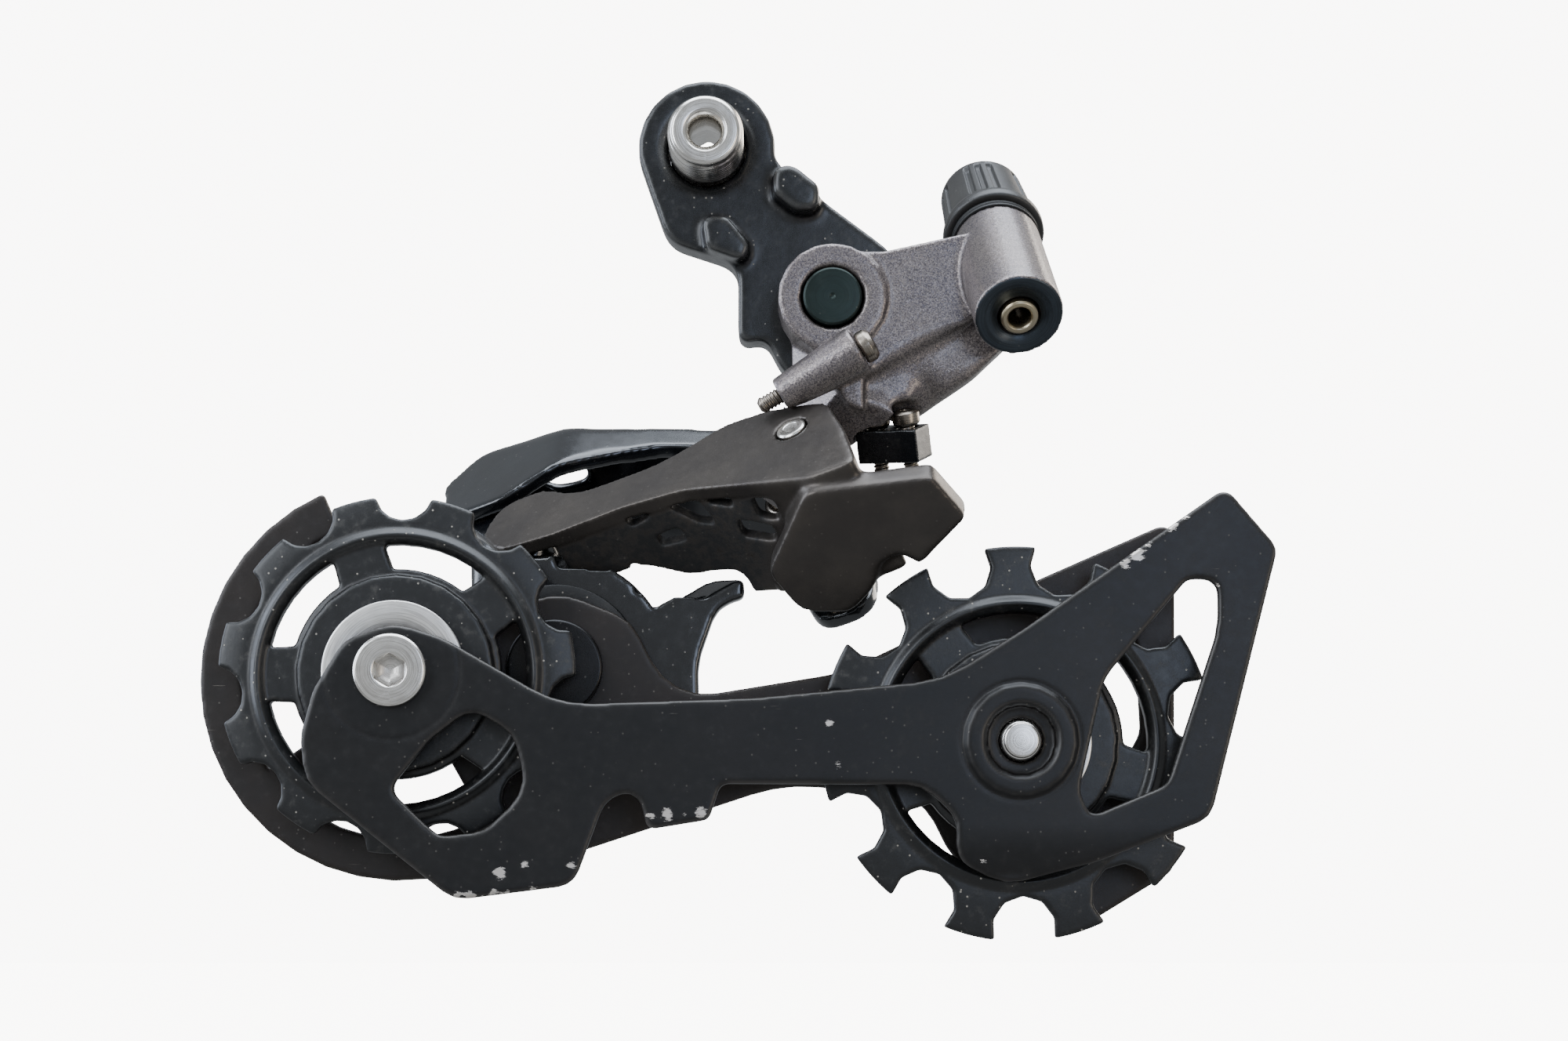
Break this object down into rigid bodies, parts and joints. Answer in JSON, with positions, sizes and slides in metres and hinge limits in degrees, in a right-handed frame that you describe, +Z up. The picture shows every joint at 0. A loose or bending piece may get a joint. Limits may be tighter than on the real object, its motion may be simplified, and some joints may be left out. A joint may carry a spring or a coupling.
{
  "type": "bicycle rear derailleur",
  "caption": "Rear derailleur for a bicycle: hanger bracket, swinging linkage, barrel adjuster and a sprung cage with two toothed guide wheels.",
  "frame": {"origin": "on the hanger bolt's axis, at the bracket's face that seats on the frame's hanger", "axes": "+X to the back of the bicycle, +Y away from the wheel along the hanger bolt, +Z up"},
  "size_m": [0.1322, 0.0563, 0.1103],
  "materials": {
    "black_casting": "satin",
    "graphite_paint": "satin metallic",
    "grey_anodised": "satin",
    "gunmetal_paint": "gloss",
    "black_plate": "matt",
    "black_nylon": "matt",
    "bright_steel": "satin",
    "screw_steel": "satin",
    "brass": "satin",
    "dark_axle": "satin",
    "black_plastic": "matt",
    "black_rubber": "matt"
  },
  "bodies": {
    "bracket": {"hanger_bracket": "black_casting", "bolt_washer": "screw_steel", "b_axle": "dark_axle", "b_axle_bush": "brass", "b_axle_cap": "black_casting"},
    "hanger_bolt": {"hanger_bolt": "bright_steel"},
    "b_body": {"body_casting": "graphite_paint", "limit_screw_block": "black_plastic", "cable_stop_insert": "brass", "adjuster_gasket": "black_rubber", "adjuster_spring": "screw_steel", "inner_body_pin": "bright_steel", "outer_body_pin": "bright_steel", "return_spring": "screw_steel"},
    "barrel_adjuster": {"adjuster_core": "screw_steel", "adjuster_knob": "black_plastic"},
    "angle_screw": {"angle_screw": "screw_steel"},
    "limit_screw_high": {"limit_screw_high": "screw_steel"},
    "limit_screw_low": {"limit_screw_low": "screw_steel"},
    "inner_link": {"inner_link": "grey_anodised", "inner_knuckle_pin": "bright_steel", "cable_clamp_plate": "screw_steel"},
    "clamp_bolt": {"cable_clamp_bolt": "screw_steel"},
    "outer_link": {"outer_link": "gunmetal_paint"},
    "p_knuckle": {"p_knuckle": "black_casting", "cage_spring": "screw_steel", "p_bush": "brass", "outer_knuckle_pin": "bright_steel"},
    "cage": {"cage_outer_plate": "black_plate", "cage_inner_plate": "black_plate", "cage_stop_pin": "screw_steel", "guide_bolt": "bright_steel", "tension_bolt": "bright_steel", "p_axle": "bright_steel", "p_cap": "black_casting", "p_seal": "black_rubber", "guide_bush": "screw_steel", "tension_bush": "screw_steel"},
    "guide_wheel": {"guide_wheel": "black_nylon", "guide_inner_cap": "bright_steel", "guide_outer_cap": "bright_steel"},
    "tension_wheel": {"tension_wheel": "black_nylon", "tension_inner_cap": "bright_steel", "tension_outer_cap": "bright_steel"}
  },
  "joints": [
    {"name": "hanger_bolt_turn", "type": "hinge", "parent": "bracket", "child": "hanger_bolt", "pos_m": [0, 0, 0], "axis": [0, 1, 0], "continuous": true},
    {"name": "body_tilt", "type": "hinge", "parent": "bracket", "child": "b_body", "pos_m": [0.0161, 0, -0.0212], "axis": [0, 1, 0], "range_deg": [-25, 0]},
    {"name": "barrel_adjuster_turn", "type": "hinge", "parent": "b_body", "child": "barrel_adjuster", "pos_m": [0.039, -0.016, -0.025], "axis": [-0.1003, 0.7519, 0.6516], "continuous": true},
    {"name": "angle_screw_turn", "type": "hinge", "parent": "b_body", "child": "angle_screw", "pos_m": [0.0069, -0.009, -0.0354], "axis": [0.8675, -0.0964, 0.488], "continuous": true},
    {"name": "limit_screw_high_turn", "type": "hinge", "parent": "b_body", "child": "limit_screw_high", "pos_m": [0.0263, -0.0024, -0.043], "axis": [-0.1207, -0.3018, 0.9457], "continuous": true},
    {"name": "limit_screw_low_turn", "type": "hinge", "parent": "b_body", "child": "limit_screw_low", "pos_m": [0.0226, -0.0004, -0.043], "axis": [-0.1207, -0.3018, 0.9457], "continuous": true},
    {"name": "inner_link_swing", "type": "hinge", "parent": "b_body", "child": "inner_link", "pos_m": [0.0108, -0.013, -0.0386], "axis": [-0.4189, -0.5685, 0.7081], "range_deg": [0, 60], "stiffness_Nm_per_rad": 0.3, "springref_deg": -57.3},
    {"name": "clamp_bolt_turn", "type": "hinge", "parent": "inner_link", "child": "clamp_bolt", "pos_m": [0.02626, -0.01163, -0.04135], "axis": [-0.0467, -0.7653, -0.642], "continuous": true},
    {"name": "outer_link_swing", "type": "hinge", "parent": "b_body", "child": "outer_link", "pos_m": [0.00397, -0.00044, -0.03255], "axis": [-0.4189, -0.5685, 0.7081], "range_deg": [0, 60]},
    {"name": "knuckle_swing", "type": "hinge", "parent": "inner_link", "child": "p_knuckle", "pos_m": [-0.02371, -0.00151, -0.04979], "axis": [-0.4189, -0.5685, 0.7081], "range_deg": [-60, 0]},
    {"name": "cage_turn", "type": "hinge", "parent": "p_knuckle", "child": "cage", "pos_m": [-0.0185, 0, -0.068], "axis": [0, 1, 0], "range_deg": [0, 68], "stiffness_Nm_per_rad": 0.15, "springref_deg": -114.59},
    {"name": "guide_wheel_spin", "type": "hinge", "parent": "cage", "child": "guide_wheel", "pos_m": [-0.0374, 0, -0.0691], "axis": [0, 1, 0], "continuous": true},
    {"name": "tension_wheel_spin", "type": "hinge", "parent": "cage", "child": "tension_wheel", "pos_m": [0.0385, 0, -0.0775], "axis": [0, 1, 0], "continuous": true}
  ],
  "couplings": [
    {"joint": "outer_link_swing", "follows": "inner_link_swing", "ratio": 1},
    {"joint": "knuckle_swing", "follows": "inner_link_swing", "ratio": -1}
  ]
}
